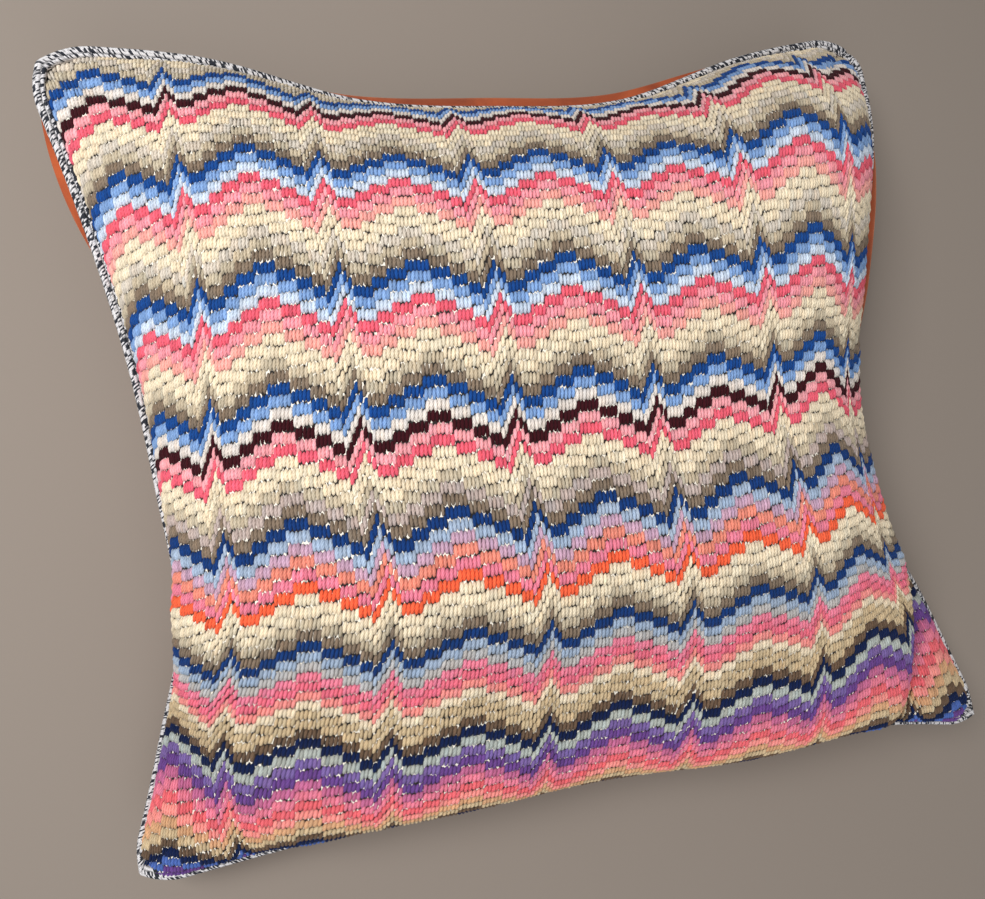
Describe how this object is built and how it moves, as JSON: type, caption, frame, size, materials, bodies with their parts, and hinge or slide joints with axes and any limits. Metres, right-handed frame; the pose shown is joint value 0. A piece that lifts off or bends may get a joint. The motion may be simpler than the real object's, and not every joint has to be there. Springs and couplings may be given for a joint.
{
  "type": "needlepoint cushion",
  "caption": "Square filled cushion with a flame stitch needlepoint front, velvet back and flecked piping in its seam, lying face up.",
  "frame": {"origin": "on the surface it lies on, below the middle of its outline", "axes": "+Z out of the needlepoint face, +Y towards the top edge of the face, +X to the right seen from above"},
  "size_m": [0.5222, 0.45, 0.1508],
  "materials": {
    "needlepoint": "upright wool stitches on canvas",
    "velvet_back": "rust cotton velvet",
    "piping": "black and white flecked cloth over cord"
  },
  "bodies": {
    "root": {"filled_cushion": "needlepoint", "back_panel": "velvet_back", "piping": "piping"}
  },
  "joints": []
}
